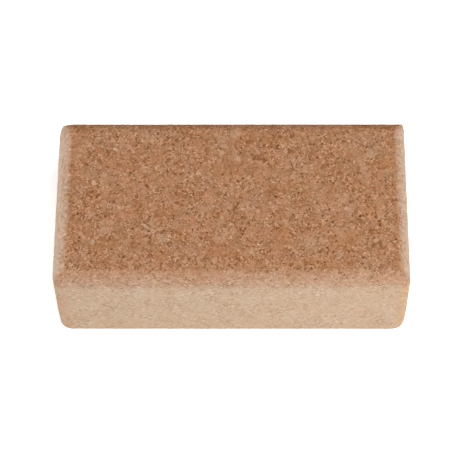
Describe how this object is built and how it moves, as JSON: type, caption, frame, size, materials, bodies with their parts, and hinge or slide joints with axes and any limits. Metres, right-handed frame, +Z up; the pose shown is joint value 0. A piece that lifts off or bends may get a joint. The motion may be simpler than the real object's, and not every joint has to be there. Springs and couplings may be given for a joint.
{
  "type": "yoga block",
  "caption": "Firm rectangular yoga block of pressed cork granulate with rounded edges and coarse pale, russet and bark chips showing flush in its faces.",
  "frame": {"origin": "centre of the largest face that the block lies on", "axes": "+X along the length, +Y across the width towards the back, +Z up through the thickness"},
  "size_m": [0.227, 0.12, 0.075],
  "materials": {
    "cork_granulate": "matt pressed and sanded cork granulate",
    "pale_cork": "matt clean cork",
    "russet_cork": "matt red-brown cork",
    "cork_bark": "matt dark bark crust"
  },
  "bodies": {
    "root": {"cork_body": "cork_granulate", "pale_cork_chips": "pale_cork", "russet_cork_chips": "russet_cork", "bark_flecks": "cork_bark"}
  },
  "joints": []
}
